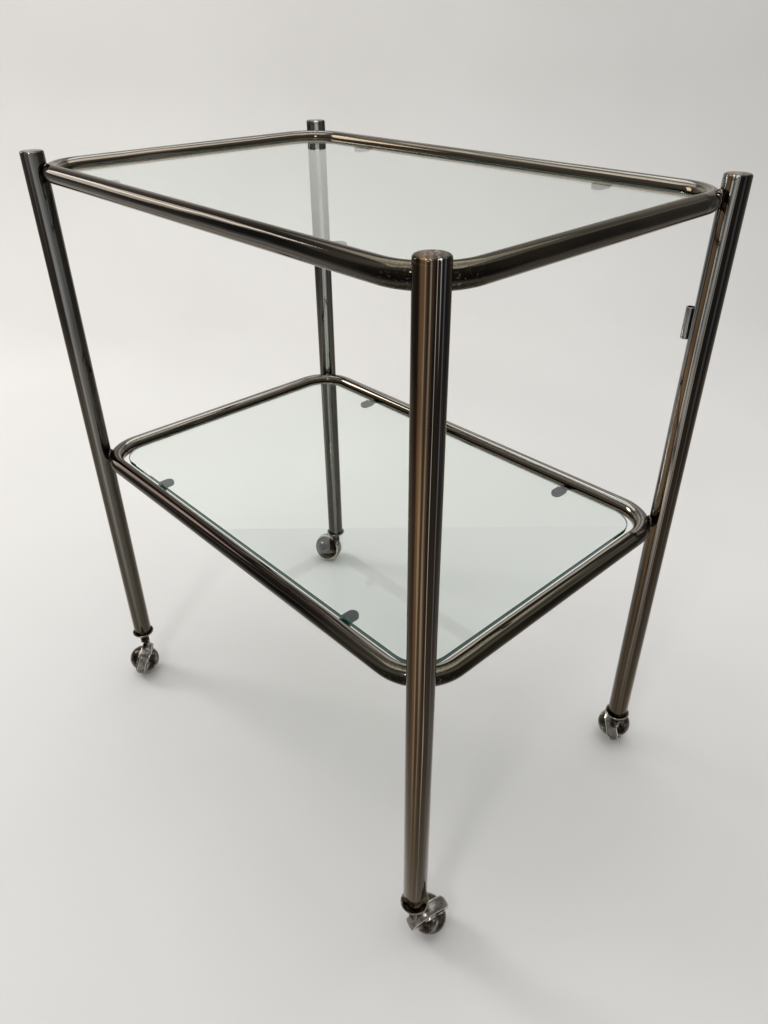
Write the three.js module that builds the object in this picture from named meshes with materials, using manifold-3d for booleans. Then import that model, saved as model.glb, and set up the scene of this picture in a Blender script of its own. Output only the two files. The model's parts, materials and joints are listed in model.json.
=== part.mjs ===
// A two-shelf bar cart on wheels: four chromed tube posts, two welded tube rings that
// each hold a loose pane of glass on rubber-covered tabs, and four metal ball casters.
// Millimetres, +Z up, +X along the cart, the floor at z = 0.

import * as THREE from 'three';
import { mergeVertices } from 'three/addons/utils/BufferGeometryUtils.js';
import Module from 'manifold-3d';

const wasm = await Module();
wasm.setup();

// ---- Driving dimensions ----

const GAP = 0.3;              // air between two pieces that touch
const FRAME_SHIFT_X = 8;      // the swivelled casters stretch the bounding box, and
const FRAME_SHIFT_Y = -3.3;   // these two centre it on the origin

const POST_X = 297;           // half the spacing of the posts
const POST_Y = 194.5;
const POST_RADIUS = 12.5;
const POST_WALL = 1.5;
const POST_BOTTOM = 64.3;
const POST_TOP = 743;
const CAP_HEIGHT = 4;

const RING_RADIUS = 9.5;      // radius of the ring's tube
const RING_WALL = 1.5;
const RING_INSET = 2.2;       // the ring's straight runs lie this far inside the post axes
const RING_BEND = 46.4;       // centreline radius of its corners
const UPPER_RING_Z = 723.5;
const LOWER_RING_Z = 374.5;

const GLASS_THICKNESS = 5;
const GLASS_DROP = 3.5;       // from the ring's centre down to the underside of the glass
const GLASS_GAP = 5.5;        // from the ring's inner wall to the edge of the glass
const GLASS_CORNER = 33;

const TAB_X = 175;            // the tabs stand at plus and minus this x
const TAB_WIDTH = 9;
const TAB_THICKNESS = 3;
const TAB_REACH = 21.5;       // how far the steel tongue stands out past the ring's wall
const SLEEVE_WIDTH = 13;
const SLEEVE_THICKNESS = 6;
const SLEEVE_REACH = 24;      // how far the rubber tip stands out past the ring's wall

const STUB_RADIUS = 4.5;      // short rod with dished ends, welded to the right post
const STUB_DISH = 3;
const STUB_DISH_DEPTH = 2;
const STUB_BOTTOM = 587.5;
const STUB_TOP = 619.5;

const TRAIL = 18;             // from the swivel axis to the centre of the ball
const AXLE_TILT = THREE.MathUtils.degToRad(18);
const TREAD_RADIUS = 24.3;
const HOOD_FACE = -6.2;       // flat face of the hood, measured along the axle
const TREAD_HALF = -HOOD_FACE - GAP;
const HOOD_WALL = 1.2;
const HOOD_WALL_RADIUS = 22;
const GROOVE_WIDTH = 1.1;     // between the hood's dome and its fender
const GROOVE_FLOOR = 16.4;
const FENDER_RADIUS = 25.6;
const FENDER_CLEARANCE = 24.7;
const FENDER_EDGE = 7;        // how far along the axle the fender reaches over the wheel
const FENDER_FRONT = THREE.MathUtils.degToRad(95);   // from straight up, towards the stem
const FENDER_BACK = THREE.MathUtils.degToRad(-45);
const DOME_RADIUS = 19.1;
const DOME_CENTRE = 2.5;      // each dome's own centre, out along the axle from the ball's
const DOME_FACE = 8;
const AXLE_START = -19.5;
const AXLE_RADIUS = 3;
const HUB_RADIUS = 7;
const HUB_BORE = 3.2;
const HUB_END = 12;
const STEM_RADIUS = 4;
const STEM_BORE = 4.3;
const STEM_FOOT = 46;         // the stem's lower end, clear of the wheel below it
const NECK_RADIUS = 6.4;
const NECK_TOP = 51;
const COLLAR_RADIUS = 6.4;    // the stem's collar, under the cup
const COLLAR_BOTTOM = 52.5;
const CUP_BOTTOM = 61;
const CUP_RIM = 65.6;

// The wheel leans, so the outer edge of its band is what touches the floor.
const BALL_Z = TREAD_HALF * Math.sin(AXLE_TILT)
  + Math.sqrt(TREAD_RADIUS ** 2 - TREAD_HALF ** 2) * Math.cos(AXLE_TILT);

// Where each post stands, the way its caster trails, and which side its wheel dome is on.
const CORNERS = [
  { name: 'front', x: 1, y: -1, trail: 78, side: 1 },
  { name: 'left', x: -1, y: -1, trail: -42, side: -1 },
  { name: 'right', x: 1, y: 1, trail: 118, side: -1 },
  { name: 'back', x: -1, y: 1, trail: 200, side: 1 },
];

// ---- Materials ----

const material = (color, roughness, metalness, more = {}) =>
  new THREE.MeshStandardMaterial({ color, roughness, metalness, ...more });

const chrome = () => material(0x8d8983, 0.18, 1);
const casterMetal = () => material(0x8b8680, 0.25, 1);
const treadMetal = () => material(0xa29c92, 0.32, 1);
const steel = () => material(0x6f6c66, 0.4, 1);
const rubber = () => material(0x191a19, 0.7, 0);
const glass = () => material(0xcfe0d8, 0.04, 0, { transparent: true, opacity: 0.35 });

// ---- Shape helpers ----

// How many flat sides the round pieces have.
const LARGE_SIDES = 24;
const MEDIUM_SIDES = 20;
const SMALL_SIDES = 12;

const points = (pairs) => pairs.map(([x, y]) => new THREE.Vector2(x, y));

// A profile of [radius, height] pairs, turned about Z.
function turned(profile, segments) {
  return new THREE.LatheGeometry(points(profile), segments).rotateX(Math.PI / 2);
}

// Profile points on a sphere centred on the axis, from one height up or down to another.
function spherePoints(radius, from, to, steps, centre = 0) {
  const start = Math.asin((from - centre) / radius);
  const end = Math.asin((to - centre) / radius);
  return Array.from({ length: steps + 1 }, (_, i) => {
    const angle = start + ((end - start) * i) / steps;
    return [radius * Math.cos(angle), centre + radius * Math.sin(angle)];
  });
}

function flatShape(shape, bottom, height, curveSegments) {
  const settings = { depth: height, bevelEnabled: false, curveSegments };
  return new THREE.ExtrudeGeometry(shape, settings).translate(0, 0, bottom);
}

function boxBetween(low, high) {
  const size = high.map((value, i) => value - low[i]);
  const middle = high.map((value, i) => (value + low[i]) / 2);
  return new THREE.BoxGeometry(...size).translate(...middle);
}

// ---- Solids that are joined or cut ----

function solid(geometry) {
  const bare = geometry.clone();
  bare.deleteAttribute('normal');
  bare.deleteAttribute('uv');
  const sameVertex = 1e-4;
  const merged = mergeVertices(bare, sameVertex);
  const mesh = new wasm.Mesh({
    numProp: 3,
    vertProperties: merged.attributes.position.array,
    triVerts: Uint32Array.from(merged.index.array),
  });
  return new wasm.Manifold(mesh);
}

function geometryOf(body) {
  const { vertProperties, triVerts } = body.getMesh();
  const geometry = new THREE.BufferGeometry();
  geometry.setAttribute('position', new THREE.BufferAttribute(vertProperties, 3));
  geometry.setIndex(new THREE.BufferAttribute(triVerts, 1));
  geometry.computeVertexNormals();
  return geometry;
}

// ---- The model's group ----

const cart = new THREE.Group();
cart.position.set(FRAME_SHIFT_X, FRAME_SHIFT_Y, 0);

function add(parent, name, geometry, finish) {
  const mesh = new THREE.Mesh(geometry, finish);
  mesh.name = name;
  parent.add(mesh);
  return mesh;
}

// ---- Posts ----

function postTube() {
  const bore = POST_RADIUS - POST_WALL;
  const top = POST_TOP - CAP_HEIGHT - GAP;
  return turned([
    [bore, POST_BOTTOM],
    [POST_RADIUS, POST_BOTTOM],
    [POST_RADIUS, top],
    [bore, top],
    [bore, POST_BOTTOM],
  ], MEDIUM_SIDES);
}

function postCap() {
  const plug = POST_RADIUS - POST_WALL - GAP;
  const seat = POST_TOP - CAP_HEIGHT;
  const plugDepth = 8;
  const round = 2.4;
  const arc = round * (1 - Math.SQRT1_2);
  return turned([
    [0, seat - plugDepth],
    [plug, seat - plugDepth],
    [plug, seat],
    [POST_RADIUS, seat],
    [POST_RADIUS, POST_TOP - round],
    [POST_RADIUS - arc, POST_TOP - arc],
    [POST_RADIUS - round, POST_TOP],
    [0, POST_TOP],
  ], MEDIUM_SIDES);
}

function stub() {
  return turned([
    [0, STUB_BOTTOM + STUB_DISH_DEPTH],
    [STUB_DISH, STUB_BOTTOM + STUB_DISH_DEPTH],
    [STUB_DISH, STUB_BOTTOM],
    [STUB_RADIUS, STUB_BOTTOM],
    [STUB_RADIUS, STUB_TOP],
    [STUB_DISH, STUB_TOP],
    [STUB_DISH, STUB_TOP - STUB_DISH_DEPTH],
    [0, STUB_TOP - STUB_DISH_DEPTH],
  ], SMALL_SIDES);
}

// ---- Rings ----

const RING_X = POST_X - RING_INSET;
const RING_Y = POST_Y - RING_INSET;

// A quarter of a circle about a centre, starting at an angle.
class CornerArc extends THREE.Curve {
  constructor(x, y, radius, start) {
    super();
    Object.assign(this, { x, y, radius, start });
  }

  getPoint(t, target = new THREE.Vector3()) {
    const angle = this.start + (t * Math.PI) / 2;
    const x = this.x + this.radius * Math.cos(angle);
    const y = this.y + this.radius * Math.sin(angle);
    return target.set(x, y, 0);
  }
}

// Half of the ring's centreline, from the middle of one end round the front to the other.
function halfRingPath() {
  const overlap = 1;
  const innerX = RING_X - RING_BEND;
  const innerY = RING_Y - RING_BEND;
  const line = (from, to) => new THREE.LineCurve3(
    new THREE.Vector3(...from, 0),
    new THREE.Vector3(...to, 0),
  );
  const path = new THREE.CurvePath();
  path.add(line([-RING_X, overlap], [-RING_X, -innerY]));
  path.add(new CornerArc(-innerX, -innerY, RING_BEND, Math.PI));
  path.add(line([-innerX, -RING_Y], [innerX, -RING_Y]));
  path.add(new CornerArc(innerX, -innerY, RING_BEND, 1.5 * Math.PI));
  path.add(line([RING_X, -innerY], [RING_X, overlap]));
  return path;
}

// How finely the ring is made: along its path, and round its outer and inner walls.
const RING_STEPS = 64;
const RING_SIDES = 12;
const RING_BORE_SIDES = 8;

function ringSolid(radius, sides) {
  const section = new THREE.Shape().absarc(0, 0, radius, 0, 2 * Math.PI);
  const half = new THREE.ExtrudeGeometry(section, {
    steps: RING_STEPS,
    curveSegments: sides / 2,
    bevelEnabled: false,
    extrudePath: halfRingPath(),
  });
  const otherHalf = half.clone().rotateZ(Math.PI);
  return solid(half).add(solid(otherHalf));
}

// A hollow tube, with the small vent hole that lets its air out when it is plated.
function ring() {
  const ventRadius = 2.5;
  const vent = new THREE.CylinderGeometry(ventRadius, ventRadius, RING_RADIUS, RING_BORE_SIDES)
    .rotateX(Math.PI / 2)
    .translate(-RING_X, RING_Y / 2, -RING_RADIUS);
  const finest = 0.01;
  const tube = ringSolid(RING_RADIUS, RING_SIDES)
    .subtract(ringSolid(RING_RADIUS - RING_WALL, RING_BORE_SIDES))
    .subtract(solid(vent));
  return geometryOf(tube.simplify(finest));
}

// ---- Glass and the tabs that carry it ----

function roundedRectangle(halfX, halfY, radius) {
  const shape = new THREE.Shape();
  const x = halfX - radius;
  const y = halfY - radius;
  const quarter = Math.PI / 2;
  shape.absarc(x, -y, radius, -quarter, 0);
  shape.absarc(x, y, radius, 0, quarter);
  shape.absarc(-x, y, radius, quarter, 2 * quarter);
  shape.absarc(-x, -y, radius, 2 * quarter, 3 * quarter);
  shape.closePath();
  return shape;
}

function pane() {
  const margin = RING_RADIUS + GLASS_GAP;
  const outline = roundedRectangle(RING_X - margin, RING_Y - margin, GLASS_CORNER);
  return flatShape(outline, -GLASS_DROP, GLASS_THICKNESS, 6);
}

// A tongue along +Y with a round end: its root is at the start, its tip at the end.
function tongue(width, start, end, bottom, height) {
  const half = width / 2;
  const shape = new THREE.Shape();
  shape.moveTo(-half, start);
  shape.lineTo(half, start);
  shape.absarc(0, end - half, half, 0, Math.PI);
  shape.closePath();
  return flatShape(shape, bottom, height, 5);
}

// Both pieces are drawn from the ring's inner wall, at y = 0, inwards along +Y.
const SLEEVE_TOP = -GLASS_DROP - GAP;
const SLEEVE_MIDDLE = SLEEVE_TOP - SLEEVE_THICKNESS / 2;
const SLEEVE_START = 6;
const TAB_START = -1.2;

function tab() {
  const bottom = SLEEVE_MIDDLE - TAB_THICKNESS / 2;
  return tongue(TAB_WIDTH, TAB_START, TAB_REACH, bottom, TAB_THICKNESS);
}

function sleeve() {
  const outer = tongue(
    SLEEVE_WIDTH, SLEEVE_START, SLEEVE_REACH, SLEEVE_TOP - SLEEVE_THICKNESS, SLEEVE_THICKNESS,
  );
  const pocketHeight = TAB_THICKNESS + 2 * GAP;
  const pocket = tongue(
    TAB_WIDTH + 2 * GAP, TAB_START, TAB_REACH + GAP, SLEEVE_MIDDLE - pocketHeight / 2, pocketHeight,
  );
  return geometryOf(solid(outer).subtract(solid(pocket)));
}

// A ring with its pane and four tabs, two on each long side.
function addShelf(level, z) {
  const shelf = new THREE.Group();
  shelf.position.z = z;
  cart.add(shelf);
  add(shelf, `${level}_ring`, ring(), chrome());
  add(shelf, `${level}_glass`, pane(), glass());
  for (const corner of CORNERS) {
    const place = new THREE.Group();
    place.position.set(corner.x * TAB_X, corner.y * (RING_Y - RING_RADIUS), 0);
    place.rotation.z = corner.y < 0 ? 0 : Math.PI;
    shelf.add(place);
    add(place, `${level}_tab_${corner.name}`, tab(), steel());
    add(place, `${level}_tab_sleeve_${corner.name}`, sleeve(), rubber());
  }
}

// ---- Casters ----

// The cup that closes the post's foot, with the sleeve inside the tube that holds the stem.
function ferrule() {
  const foot = 11.2;
  const rim = 15.5;
  const edge = 1;
  const plug = POST_RADIUS - POST_WALL - 2 * GAP;
  const plugTop = POST_BOTTOM + 27;
  const ledge = POST_BOTTOM - GAP;
  return turned([
    [STEM_BORE, CUP_BOTTOM],
    [foot, CUP_BOTTOM],
    [foot + edge, CUP_BOTTOM + edge],
    [rim, CUP_RIM - 2 * edge],
    [rim, CUP_RIM - edge],
    [rim - edge, CUP_RIM],
    [POST_RADIUS + 2 * GAP, CUP_RIM],
    [POST_RADIUS + 2 * GAP, ledge],
    [plug, ledge],
    [plug, plugTop],
    [STEM_BORE, plugTop],
    [STEM_BORE, CUP_BOTTOM],
  ], MEDIUM_SIDES);
}

// The pin that the caster swivels on, measured from the floor.
function stem() {
  const chamfer = 1;
  const grooveDepth = 0.8;
  const grooveWidth = 2;
  const top = POST_BOTTOM + 25;
  const grooveTop = top - 4;
  return turned([
    [0, STEM_FOOT],
    [STEM_RADIUS, STEM_FOOT],
    [STEM_RADIUS, COLLAR_BOTTOM],
    [COLLAR_RADIUS, COLLAR_BOTTOM],
    [COLLAR_RADIUS, CUP_BOTTOM - GAP],
    [STEM_RADIUS, CUP_BOTTOM - GAP],
    [STEM_RADIUS, grooveTop - grooveWidth],
    [STEM_RADIUS - grooveDepth, grooveTop - grooveWidth],
    [STEM_RADIUS - grooveDepth, grooveTop],
    [STEM_RADIUS, grooveTop],
    [STEM_RADIUS, top - chamfer],
    [STEM_RADIUS - chamfer, top],
    [0, top],
  ], SMALL_SIDES);
}

// The wheel: hub, web and the crowned band that rolls on the floor. Its axle is along Z.
function wheel() {
  const rimInside = 18.5;
  const web = 2.5;
  return turned([
    [HUB_BORE, -TREAD_HALF],
    [HUB_RADIUS, -TREAD_HALF],
    [HUB_RADIUS, -web],
    [rimInside, -web],
    [rimInside, -TREAD_HALF],
    ...spherePoints(TREAD_RADIUS, -TREAD_HALF, TREAD_HALF, 4),
    [rimInside, TREAD_HALF],
    [rimInside, web],
    [HUB_RADIUS, web],
    [HUB_RADIUS, HUB_END],
    [HUB_BORE, HUB_END],
    [HUB_BORE, -TREAD_HALF],
  ], LARGE_SIDES);
}

// The flat head on the axle's end, which keeps the wheel on.
const HEAD_START = HUB_END + GAP;
const HEAD_THICKNESS = 2;

// The domed cover on the wheel's outer side, with the inner collar that grips the hub.
function wheelDome() {
  const shell = 2;
  const collarInside = HUB_RADIUS + GAP;
  const pocketEnd = HEAD_START + HEAD_THICKNESS + 2 * GAP;
  const hollowTop = 16.5;
  return turned([
    [0, pocketEnd],
    [collarInside, pocketEnd],
    [collarInside, DOME_FACE],
    [collarInside + shell, DOME_FACE],
    ...spherePoints(DOME_RADIUS - shell, hollowTop, DOME_FACE, 2, DOME_CENTRE),
    ...spherePoints(DOME_RADIUS, DOME_FACE, DOME_CENTRE + DOME_RADIUS, 5, DOME_CENTRE),
  ], MEDIUM_SIDES);
}

// The wheel's axle, fixed in the hood.
function axle() {
  const headRadius = 5;
  return turned([
    [0, AXLE_START],
    [AXLE_RADIUS, AXLE_START],
    [AXLE_RADIUS, HEAD_START],
    [headRadius, HEAD_START],
    [headRadius, HEAD_START + HEAD_THICKNESS],
    [0, HEAD_START + HEAD_THICKNESS],
  ], SMALL_SIDES);
}

// The direction of the wheel's axle, outwards from the hood.
const axleDirection = (side) =>
  new THREE.Vector3(side * Math.cos(AXLE_TILT), 0, -Math.sin(AXLE_TILT));

// Turns a piece whose axis is Z so that its axis is the axle's.
function axleTurn(side) {
  const up = new THREE.Vector3(0, 0, 1);
  return new THREE.Quaternion().setFromUnitVectors(up, axleDirection(side));
}

// The hood's dome, its flat wall beside the wheel, and the groove between them.
function hoodDome() {
  const wall = HOOD_FACE - HOOD_WALL;
  const grooveEdge = wall - GROOVE_WIDTH;
  return turned([
    ...spherePoints(DOME_RADIUS, -DOME_CENTRE - DOME_RADIUS, grooveEdge, 5, -DOME_CENTRE),
    [GROOVE_FLOOR, grooveEdge],
    [GROOVE_FLOOR, wall],
    [HOOD_WALL_RADIUS, wall],
    [HOOD_WALL_RADIUS, HOOD_FACE],
    [0, HOOD_FACE],
  ], LARGE_SIDES);
}

// The strap over the wheel, and its edge that joins the wall, before its ends are cut.
function fenderRing() {
  const wall = HOOD_FACE - HOOD_WALL;
  const root = HOOD_WALL_RADIUS - 1;
  return turned([
    [root, HOOD_FACE],
    [root, wall],
    ...spherePoints(FENDER_RADIUS, wall, FENDER_EDGE, 4),
    ...spherePoints(FENDER_CLEARANCE, FENDER_EDGE, HOOD_FACE, 3),
    [root, HOOD_FACE],
  ], LARGE_SIDES);
}

// The hood with its fender and the neck for the stem. Its origin is the ball's centre,
// and the stem stands at y = -TRAIL.
function hood(side) {
  const far = 2 * FENDER_RADIUS;
  const turn = axleTurn(side);
  const alongAxle = (geometry) => solid(geometry.applyQuaternion(turn));

  // Half of all space, behind a plane through the axle whose normal is at this angle
  // from straight up, towards the stem.
  const behind = (angle) => alongAxle(
    boxBetween([-far, -far, -far], [far, 0, far]).rotateZ(side * (Math.PI / 2 + angle)),
  );
  const fender = alongAxle(fenderRing())
    .subtract(behind(FENDER_BACK + Math.PI / 2))
    .subtract(behind(FENDER_FRONT - Math.PI / 2));

  const neckStart = 12;
  const neckTop = NECK_TOP - BALL_Z;
  const chamfer = 0.8;
  const neck = turned([
    [0, neckStart],
    [NECK_RADIUS, neckStart],
    [NECK_RADIUS, neckTop - chamfer],
    [NECK_RADIUS - chamfer, neckTop],
    [0, neckTop],
  ], SMALL_SIDES).translate(0, -TRAIL, 0);
  const stemHole = turned([
    [0, STEM_FOOT - GAP - BALL_Z],
    [STEM_BORE, STEM_FOOT - GAP - BALL_Z],
    [STEM_BORE, far],
    [0, far],
  ], SMALL_SIDES).translate(0, -TRAIL, 0);
  const wheelRoom = turned([
    [0, HOOD_FACE],
    ...spherePoints(FENDER_CLEARANCE, HOOD_FACE, FENDER_CLEARANCE, 7),
  ], LARGE_SIDES);
  const axleBore = turned([
    [0, AXLE_START - GAP],
    [AXLE_RADIUS + GAP, AXLE_START - GAP],
    [AXLE_RADIUS + GAP, 0],
    [0, 0],
  ], SMALL_SIDES);

  return alongAxle(hoodDome())
    .add(fender)
    .add(solid(neck))
    .subtract(alongAxle(wheelRoom))
    .subtract(alongAxle(axleBore))
    .subtract(solid(stemHole));
}

function addCaster(corner) {
  const swivel = new THREE.Group();
  swivel.position.set(corner.x * POST_X, corner.y * POST_Y, 0);
  swivel.rotation.z = THREE.MathUtils.degToRad(corner.trail - 90);
  cart.add(swivel);
  add(swivel, `caster_stem_${corner.name}`, stem(), steel());

  const ball = new THREE.Group();
  ball.position.set(0, TRAIL, BALL_Z);
  swivel.add(ball);
  add(ball, `caster_hood_${corner.name}`, geometryOf(hood(corner.side)), casterMetal());

  const rolling = new THREE.Group();
  rolling.quaternion.copy(axleTurn(corner.side));
  ball.add(rolling);
  add(rolling, `caster_axle_${corner.name}`, axle(), steel());
  add(rolling, `caster_wheel_${corner.name}`, wheel(), treadMetal());
  add(rolling, `caster_dome_${corner.name}`, wheelDome(), casterMetal());
}

// ---- Assembly ----

for (const corner of CORNERS) {
  const foot = new THREE.Group();
  foot.position.set(corner.x * POST_X, corner.y * POST_Y, 0);
  cart.add(foot);
  add(foot, `post_${corner.name}`, postTube(), chrome());
  add(foot, `post_cap_${corner.name}`, postCap(), chrome());
  add(foot, `ferrule_${corner.name}`, ferrule(), casterMetal());
  addCaster(corner);
}

addShelf('upper', UPPER_RING_Z);
addShelf('lower', LOWER_RING_Z);

const stubMesh = add(cart, 'post_stub', stub(), chrome());
stubMesh.position.set(POST_X - POST_RADIUS - STUB_RADIUS - GAP, POST_Y, 0);

export default cart;
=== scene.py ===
import json
import math

import bmesh
import bpy
from mathutils import Matrix, Vector, noise


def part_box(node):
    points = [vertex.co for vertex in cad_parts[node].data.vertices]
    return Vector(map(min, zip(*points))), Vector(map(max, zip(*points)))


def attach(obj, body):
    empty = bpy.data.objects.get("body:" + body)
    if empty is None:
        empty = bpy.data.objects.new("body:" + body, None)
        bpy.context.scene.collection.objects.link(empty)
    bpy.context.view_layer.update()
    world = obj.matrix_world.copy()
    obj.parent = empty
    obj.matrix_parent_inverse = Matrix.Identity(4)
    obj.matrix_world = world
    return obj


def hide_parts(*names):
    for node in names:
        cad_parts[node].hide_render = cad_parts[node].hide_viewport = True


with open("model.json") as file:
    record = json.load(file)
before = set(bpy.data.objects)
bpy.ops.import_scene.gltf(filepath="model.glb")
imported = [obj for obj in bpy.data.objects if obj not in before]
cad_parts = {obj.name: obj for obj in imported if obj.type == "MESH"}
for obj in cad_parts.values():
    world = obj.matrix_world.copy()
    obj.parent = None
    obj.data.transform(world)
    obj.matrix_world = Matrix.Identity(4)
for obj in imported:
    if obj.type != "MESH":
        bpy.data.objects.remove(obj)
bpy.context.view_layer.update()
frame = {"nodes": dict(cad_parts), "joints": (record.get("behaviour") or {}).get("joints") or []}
joints = {joint["name"]: joint for joint in frame["joints"]}
CORNERS = ("front", "left", "right", "back")
MM = 0.001

# ---- Camera ----

camera = bpy.data.objects.new("camera", bpy.data.cameras.new("camera"))
bpy.context.scene.collection.objects.link(camera)
bpy.context.scene.camera = camera
camera.data.sensor_width = 36
camera.data.lens = 27.05
camera.data.clip_start = 0.05
heading = math.radians(47.16)
downward = math.radians(32.87)
lean = math.radians(-0.44)
camera.matrix_world = (
    Matrix.Translation((0.6265, -0.5367, 0.8623))
    @ Matrix.Rotation(heading, 4, "Z")
    @ Matrix.Rotation(math.pi / 2 - downward, 4, "X")
    @ Matrix.Rotation(lean, 4, "Z")
)

# ---- Materials ----


class Finish:
    """A node material under construction, with helpers for the nodes it uses most."""

    def __init__(self, name, own=True):
        self.material = bpy.data.materials.new(name)
        self.material.use_nodes = True
        tree = self.material.node_tree
        self.nodes = tree.nodes
        self.links = tree.links
        self.shader = next(n for n in self.nodes if n.type == "BSDF_PRINCIPLED")
        if own:
            source = self.nodes.new("ShaderNodeAttribute")
            source.attribute_name = "own"
            self.place = source.outputs["Vector"]
        else:
            source = self.nodes.new("ShaderNodeTexCoord")
            self.place = source.outputs["Object"]

    def link(self, output, target):
        self.links.new(output, target)

    def scaled(self, scale, offset=(0, 0, 0)):
        node = self.nodes.new("ShaderNodeMapping")
        node.inputs["Scale"].default_value = scale
        node.inputs["Location"].default_value = offset
        self.link(self.place, node.inputs["Vector"])
        return node.outputs["Vector"]

    def noise(self, scale, detail=3.0, roughness=0.5, offset=(0, 0, 0), distortion=0.0):
        node = self.nodes.new("ShaderNodeTexNoise")
        node.inputs["Scale"].default_value = 1.0
        node.inputs["Detail"].default_value = detail
        node.inputs["Roughness"].default_value = roughness
        node.inputs["Distortion"].default_value = distortion
        self.link(self.scaled(scale, offset), node.inputs["Vector"])
        return node.outputs["Fac"]

    def dot(self, direction):
        node = self.nodes.new("ShaderNodeVectorMath")
        node.operation = "DOT_PRODUCT"
        node.inputs[1].default_value = direction
        self.link(self.place, node.inputs[0])
        return node.outputs["Value"]

    def ramp(self, value, stops):
        node = self.nodes.new("ShaderNodeValToRGB")
        band = node.color_ramp.elements
        while len(band) < len(stops):
            band.new(0.5)
        for element, (position, color) in zip(band, stops):
            element.position = position
            element.color = (*color, 1)
        self.link(value, node.inputs["Fac"])
        return node.outputs["Color"]

    def span(self, value, low, high, start=0.0, end=1.0):
        node = self.nodes.new("ShaderNodeMapRange")
        node.inputs["From Min"].default_value = start
        node.inputs["From Max"].default_value = end
        node.inputs["To Min"].default_value = low
        node.inputs["To Max"].default_value = high
        self.link(value, node.inputs["Value"])
        return node.outputs["Result"]

    def math(self, kind, a, b):
        node = self.nodes.new("ShaderNodeMath")
        node.operation = kind
        for socket, value in zip(node.inputs, (a, b)):
            if isinstance(value, (int, float)):
                socket.default_value = value
            else:
                self.link(value, socket)
        return node.outputs["Value"]

    def mix(self, factor, a, b):
        node = self.nodes.new("ShaderNodeMix")
        node.data_type = "RGBA"
        sockets = [node.inputs["Factor"], node.inputs[6], node.inputs[7]]
        for socket, value in zip(sockets, (factor, a, b)):
            if isinstance(value, (int, float)):
                socket.default_value = value
            elif isinstance(value, tuple):
                socket.default_value = (*value, 1)
            else:
                self.link(value, socket)
        return node.outputs[2]

    def attribute(self, name):
        node = self.nodes.new("ShaderNodeAttribute")
        node.attribute_name = name
        return node.outputs["Fac"]

    def bump(self, height, strength, distance):
        node = self.nodes.new("ShaderNodeBump")
        node.inputs["Strength"].default_value = strength
        node.inputs["Distance"].default_value = distance
        self.link(height, node.inputs["Height"])
        self.link(node.outputs["Normal"], self.shader.inputs["Normal"])

    def set(self, **values):
        for key, value in values.items():
            socket = self.shader.inputs[key.replace("_", " ")]
            if isinstance(value, bpy.types.NodeSocket):
                self.link(value, socket)
            elif isinstance(value, tuple):
                socket.default_value = (*value, 1)
            else:
                socket.default_value = value


GRAZING_TINT = (0.80, 0.77, 0.73)


def aged(f, color, offset):
    """Haze, fine specks and pits over polished metal. Returns colour, roughness, height."""
    haze = f.noise((38, 38, 9), 4, 0.6, offset)
    color = f.mix(f.span(haze, 0.0, 0.22, 0.52, 0.8), color, (0.09, 0.072, 0.05))
    specks = f.noise((900, 900, 700), 2, 0.5, offset)
    mask = f.span(specks, 0.0, 0.7, 0.68, 0.76)
    color = f.mix(mask, color, (0.04, 0.03, 0.022))
    rough = f.math("ADD", f.span(haze, 0.03, 0.11, 0.4, 0.8), f.math("MULTIPLY", mask, 0.2))
    return color, rough, f.math("MULTIPLY", specks, 0.12)


def post_chrome_painted_reflections(name, side, stops, foot, offset):
    """Old chrome on a post with painted reflections. Long streaks run down it, painted dark to light
    across the tube, with painted highlight streaks.
    """
    f = Finish(name)
    radius = 12.5 * MM
    # painted reflections: the side direction sets where the painted dark and light bands lie across
    # the tube
    across = f.dot((side[0] / radius, side[1] / radius, 0))
    sway = f.noise((5, 5, 1.6), 2, 0.5, offset)
    streaks = f.noise((230, 230, 0.9), 3, 0.6, offset)
    across = f.math("ADD", across, f.span(sway, -0.22, 0.22, 0.3, 0.7))
    across = f.math("ADD", across, f.span(streaks, -0.16, 0.16, 0.3, 0.7))
    # the stops are painted reflection bands, dark with thin painted highlight streaks
    color = f.ramp(f.span(across, 0.0, 1.0, -1.0, 1.0), stops)
    broken = f.noise((120, 120, 2.2), 4, 0.65, offset)
    color = f.mix(f.span(broken, 0.0, 0.35, 0.54, 0.68), color, foot)
    height = f.dot((0, 0, 1))
    foot_end, fade_end = 0.1, 0.6
    color = f.mix(f.span(height, 0.82, 0.1, foot_end, fade_end), color, foot)
    color, rough, pits = aged(f, color, offset)
    f.bump(pits, 0.35, 0.0004)
    f.set(Metallic=1.0, Base_Color=color, Roughness=rough, Specular_Tint=GRAZING_TINT)
    return f.material


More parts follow.
